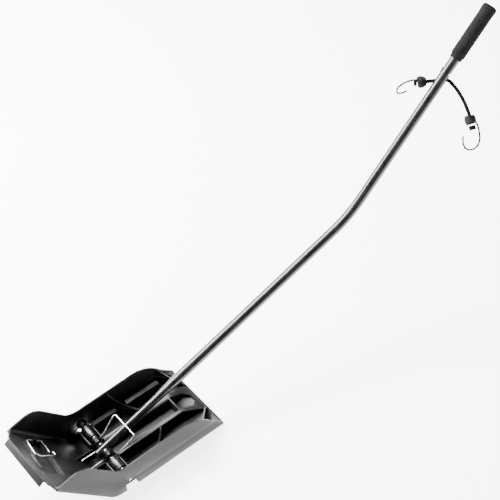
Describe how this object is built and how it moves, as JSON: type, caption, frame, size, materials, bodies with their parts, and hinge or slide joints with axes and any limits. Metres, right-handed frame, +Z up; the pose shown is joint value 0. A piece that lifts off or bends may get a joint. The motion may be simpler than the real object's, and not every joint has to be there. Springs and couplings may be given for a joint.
{
  "type": "long-handled spring-loaded scoop",
  "caption": "Deep moulded pan that pivots on a sprung cross axle at the foot of a bent tube handle, with a foam grip and an elastic cord with wire hooks.",
  "frame": {"origin": "on the pan's flat sole, straight below the middle of the axle", "axes": "+X across the pan along the axle, +Y along the pan's back floor towards the grip, +Z up"},
  "size_m": [0.2166, 1.253, 0.6238],
  "materials": {
    "moulded_plastic": "black moulded plastic with a soft sheen",
    "black_paint": "glossy black coating on a steel tube",
    "foam_grip": "matte dark grey foam rubber",
    "bright_steel": "bright plated steel",
    "satin_steel": "dull plated steel with fine turned lines",
    "spring_wire": "drawn spring wire",
    "hook_wire": "grey drawn wire with darker tips",
    "cord_cover": "black woven cover on an elastic core"
  },
  "bodies": {
    "handle": {"handle_tube": "black_paint", "handle_grip": "foam_grip", "retaining_pin": "bright_steel", "torsion_spring": "spring_wire", "spring_bushing_left": "moulded_plastic", "spring_bushing_right": "moulded_plastic", "tube_washer_left": "bright_steel", "tube_washer_right": "bright_steel", "bungee_cord": "cord_cover", "bungee_hook_left": "hook_wire", "bungee_hook_right": "hook_wire", "cord_end_left": "cord_cover", "cord_end_right": "cord_cover"},
    "scoop": {"scoop_pan": "moulded_plastic", "wire_catch": "spring_wire", "axle": "satin_steel", "axle_cap_left": "moulded_plastic", "axle_cap_right": "moulded_plastic", "spacer_sleeve_left": "satin_steel", "spacer_sleeve_right": "satin_steel", "sleeve_washer_inner_left": "bright_steel", "sleeve_washer_inner_right": "bright_steel", "sleeve_washer_outer_left": "bright_steel", "sleeve_washer_outer_right": "bright_steel", "spring_tang_left": "spring_wire", "spring_tang_right": "spring_wire"}
  },
  "joints": [
    {"name": "pan_pivot", "type": "hinge", "parent": "handle", "child": "scoop", "pos_m": [0, 0, 0.0385], "axis": [-1, 0, 0], "range_deg": [0, 75], "stiffness_Nm_per_rad": 0.6, "springref_deg": -60.16}
  ]
}
